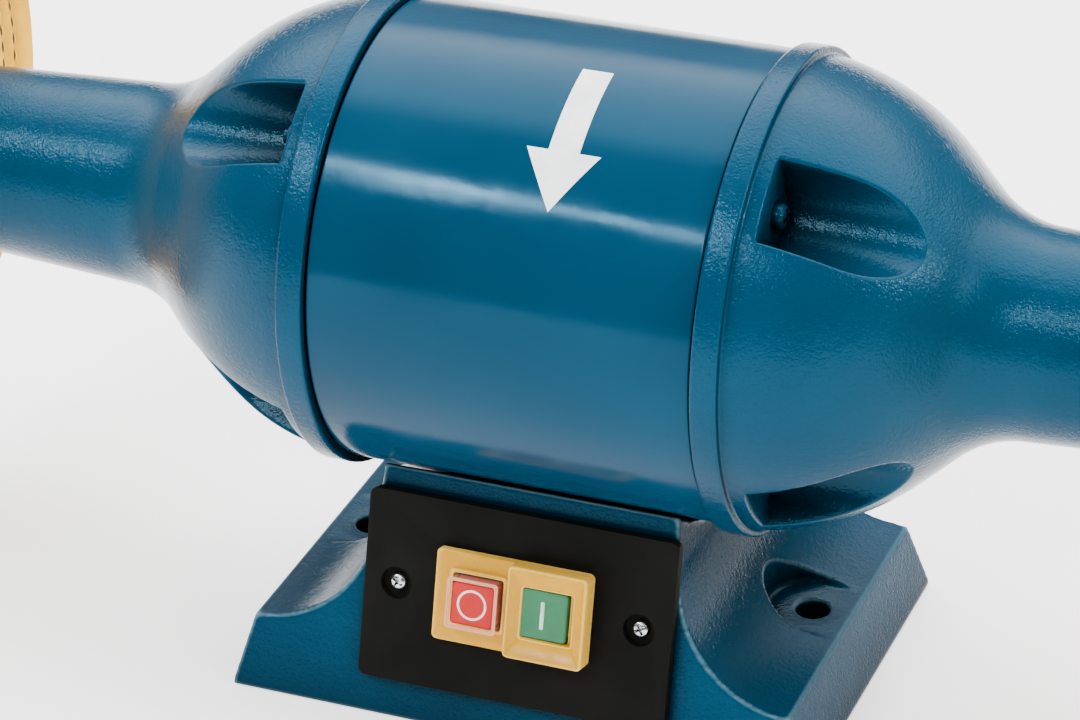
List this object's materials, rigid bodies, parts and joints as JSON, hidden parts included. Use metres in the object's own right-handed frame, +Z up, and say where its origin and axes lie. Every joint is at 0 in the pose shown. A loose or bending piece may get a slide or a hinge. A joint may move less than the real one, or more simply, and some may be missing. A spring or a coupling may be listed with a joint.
{
  "type": "bench grinder",
  "caption": "Long-spindle bench grinder with cloth buffing wheels, bolt-down cast base and push-button safety switch.",
  "frame": {"origin": "centre of the base's underside, on the bench", "axes": "+X along the spindle to the user's right, +Y to the back (the switch faces -Y), +Z up"},
  "size_m": [0.596, 0.2, 0.241],
  "materials": {
    "cast_paint": "gloss enamel over a sand-cast skin",
    "shell_paint": "smooth high-gloss enamel",
    "bearing_steel": "ground",
    "zinc_plate": "bright zinc plated",
    "black_plastic": "fine moulded grain",
    "black_rubber": "matte",
    "yellow_plastic": "moulded, slightly translucent",
    "red_plastic": "satin",
    "green_plastic": "satin",
    "copper_wire": "varnished copper winding",
    "core_iron": "laminated electrical steel",
    "rotor_aluminium": "as cast",
    "yellow_cloth": "stitched cotton plies",
    "can_plastic": "satin"
  },
  "bodies": {
    "stand": {"base_casting": "cast_paint", "right_end_bell": "cast_paint", "left_end_bell": "cast_paint", "right_arm": "cast_paint", "left_arm": "cast_paint", "right_bearing_cap": "cast_paint", "left_bearing_cap": "cast_paint", "tie_bolt_1": "cast_paint", "tie_bolt_2": "cast_paint", "tie_bolt_3": "cast_paint", "tie_bolt_4": "cast_paint", "tie_nut_1": "cast_paint", "tie_nut_2": "cast_paint", "tie_nut_3": "cast_paint", "tie_nut_4": "cast_paint", "motor_shell": "shell_paint", "right_bearing_outer_race": "bearing_steel", "left_bearing_outer_race": "bearing_steel", "preload_washer": "bearing_steel", "bottom_cover": "zinc_plate", "bottom_cover_screw_1": "zinc_plate", "bottom_cover_screw_2": "zinc_plate", "bottom_cover_screw_3": "zinc_plate", "bottom_cover_screw_4": "zinc_plate", "left_saddle_bolt": "zinc_plate", "right_saddle_bolt": "zinc_plate", "left_plate_screw": "zinc_plate", "right_plate_screw": "zinc_plate", "capacitor_strap": "zinc_plate", "switch_plate": "black_plastic", "switch_body": "black_plastic", "cable_gland": "black_plastic", "gland_nut": "black_plastic", "terminal_block": "black_plastic", "wire_grommet": "black_rubber", "switch_bezel": "yellow_plastic", "right_winding": "copper_wire", "left_winding": "copper_wire", "stator_core": "core_iron", "run_capacitor": "can_plastic"},
    "spindle": {"spindle_shaft": "bearing_steel", "rotor_core": "core_iron", "right_rotor_end_ring": "rotor_aluminium", "left_rotor_end_ring": "rotor_aluminium", "right_bearing_inner_race": "bearing_steel", "left_bearing_inner_race": "bearing_steel", "right_inner_flange": "zinc_plate", "left_inner_flange": "zinc_plate", "right_outer_flange": "zinc_plate", "left_outer_flange": "zinc_plate", "right_buffing_wheel": "yellow_cloth", "left_buffing_wheel": "yellow_cloth", "right_wheel_nut": "zinc_plate", "left_wheel_nut": "zinc_plate"},
    "left_balls": {"left_ball_cage": "bearing_steel"},
    "right_balls": {"right_ball_cage": "bearing_steel"},
    "stop_key": {"stop_button": "red_plastic"},
    "start_key": {"start_button": "green_plastic"}
  },
  "joints": [
    {"name": "spindle_spin", "type": "hinge", "parent": "stand", "child": "spindle", "pos_m": [0, 0, 0.141], "axis": [1, 0, 0], "continuous": true},
    {"name": "left_balls_roll", "type": "hinge", "parent": "stand", "child": "left_balls", "pos_m": [-0.2233, 0, 0.141], "axis": [1, 0, 0], "continuous": true},
    {"name": "right_balls_roll", "type": "hinge", "parent": "stand", "child": "right_balls", "pos_m": [0.2233, 0, 0.141], "axis": [1, 0, 0], "continuous": true},
    {"name": "stop_press", "type": "slide", "parent": "stand", "child": "stop_key", "axis": [0, 0.9677, -0.2523], "range_m": [0, 0.004], "stiffness_N_per_m": 500, "springref_m": -0.002},
    {"name": "start_press", "type": "slide", "parent": "stand", "child": "start_key", "axis": [0, 0.9677, -0.2523], "range_m": [0, 0.003], "stiffness_N_per_m": 500, "springref_m": -0.002}
  ],
  "couplings": [
    {"joint": "left_balls_roll", "follows": "spindle_spin", "ratio": 0.3961},
    {"joint": "right_balls_roll", "follows": "spindle_spin", "ratio": 0.3961}
  ]
}
